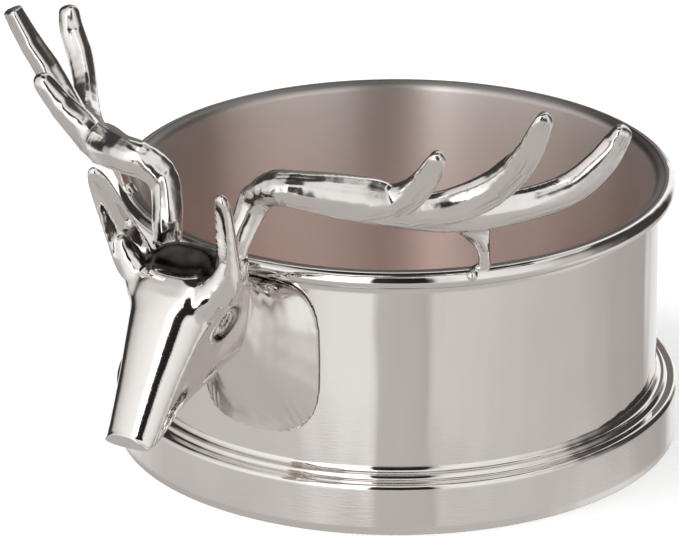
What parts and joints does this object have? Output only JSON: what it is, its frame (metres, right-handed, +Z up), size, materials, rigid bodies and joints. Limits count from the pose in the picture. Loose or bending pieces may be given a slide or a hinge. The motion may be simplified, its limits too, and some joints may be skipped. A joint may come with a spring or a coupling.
{
  "type": "wine bottle coaster",
  "caption": "Round polished metal bottle coaster with a stag's head on its front and antlers swept back over the rim.",
  "frame": {"origin": "centre of the underside, on the coaster's axis at the table", "axes": "+Z up along the coaster's axis; the stag looks along -Y; the animal's left side is +X"},
  "size_m": [0.149, 0.1779, 0.105],
  "materials": {
    "polished_plate": "polished",
    "satin_plate": "satin, brushed round the axis",
    "baize": "short nap"
  },
  "bodies": {
    "root": {"wall": "polished_plate", "rim_bead": "polished_plate", "base_ring": "polished_plate", "floor_disc": "satin_plate", "base_pad": "baize", "neck": "polished_plate", "head": "polished_plate", "left_antler": "polished_plate", "right_antler": "polished_plate"}
  },
  "joints": []
}
